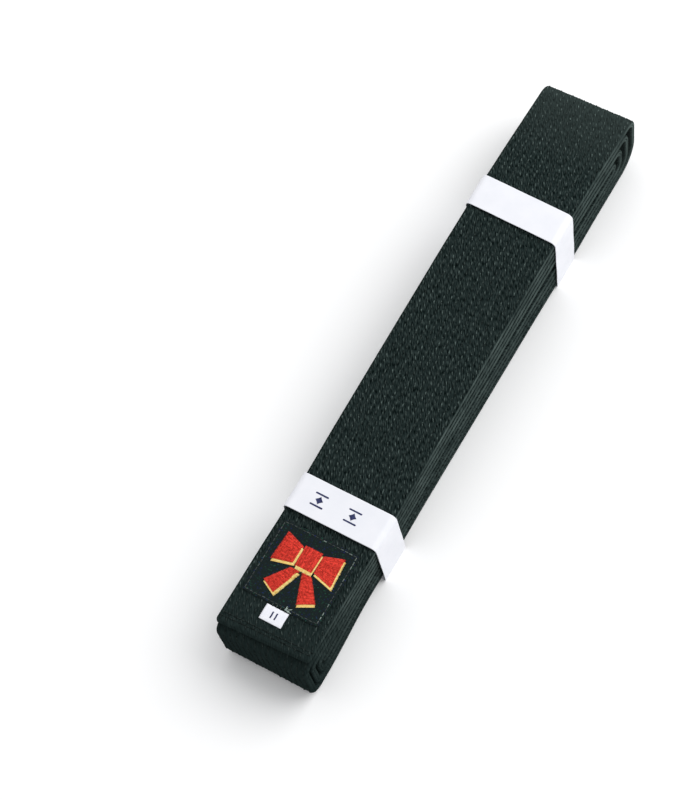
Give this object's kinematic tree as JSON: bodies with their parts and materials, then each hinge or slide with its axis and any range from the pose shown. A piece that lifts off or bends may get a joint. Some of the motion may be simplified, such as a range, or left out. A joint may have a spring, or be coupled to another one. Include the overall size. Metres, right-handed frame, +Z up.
{
  "type": "folded martial arts belt",
  "caption": "Black stitched martial arts belt, folded into a flat pack and held by two paper bands, with an embroidered label on the end that lifts.",
  "frame": {"origin": "centre of the folded pack's footprint, on the surface that the paper bands rest on", "axes": "+Z up through the layers; +Y along the pack, away from the end that carries the label; +X towards the pack's right side"},
  "size_m": [0.0466, 0.3022, 0.0402],
  "materials": {
    "belt_fabric": "matte",
    "core_canvas": "matte",
    "belt_thread": "satin",
    "label_weave": "matte",
    "border_thread": "satin",
    "red_thread": "satin",
    "yellow_thread": "satin",
    "tag_ribbon": "satin",
    "blue_ink": "matte",
    "band_paper": "matte",
    "glue": "satin"
  },
  "bodies": {
    "folded_belt": {"belt_cover": "belt_fabric", "core_ply_inner": "core_canvas", "core_ply_middle": "core_canvas", "core_ply_outer": "core_canvas", "needle_thread_rows": "belt_thread", "bobbin_thread_rows": "belt_thread", "plain_end_tip_seam": "belt_thread"},
    "label_end": {"label_end_cover": "belt_fabric", "label_end_core_ply_inner": "core_canvas", "label_end_core_ply_middle": "core_canvas", "label_end_core_ply_outer": "core_canvas", "label_end_needle_thread_rows": "belt_thread", "label_end_bobbin_thread_rows": "belt_thread", "label_end_tip_seam": "belt_thread", "label_ground": "label_weave", "label_border_stitch": "border_thread", "emblem_red_embroidery": "red_thread", "emblem_yellow_embroidery": "yellow_thread", "size_tag_stitch": "border_thread"},
    "tag": {"size_tag": "tag_ribbon", "size_tag_mark": "blue_ink"},
    "upper_band": {"upper_paper_band": "band_paper", "upper_band_glue": "glue"},
    "lower_band": {"lower_paper_band": "band_paper", "lower_band_glue": "glue", "lower_band_print": "blue_ink"}
  },
  "joints": [
    {"name": "label_end_lift", "type": "hinge", "parent": "folded_belt", "child": "label_end", "pos_m": [0, -0.0911, 0.0321], "axis": [-1, 0, 0], "range_deg": [0, 60]},
    {"name": "tag_flip", "type": "hinge", "parent": "label_end", "child": "tag", "pos_m": [-0.0008, -0.1318, 0.0321], "axis": [-1, 0, 0], "range_deg": [0, 90]},
    {"name": "upper_band_slide", "type": "slide", "parent": "folded_belt", "child": "upper_band", "axis": [0, 1, 0], "range_m": [-0.14, 0.062]},
    {"name": "lower_band_slide", "type": "slide", "parent": "folded_belt", "child": "lower_band", "axis": [0, 1, 0], "range_m": [-0.062, 0]}
  ]
}
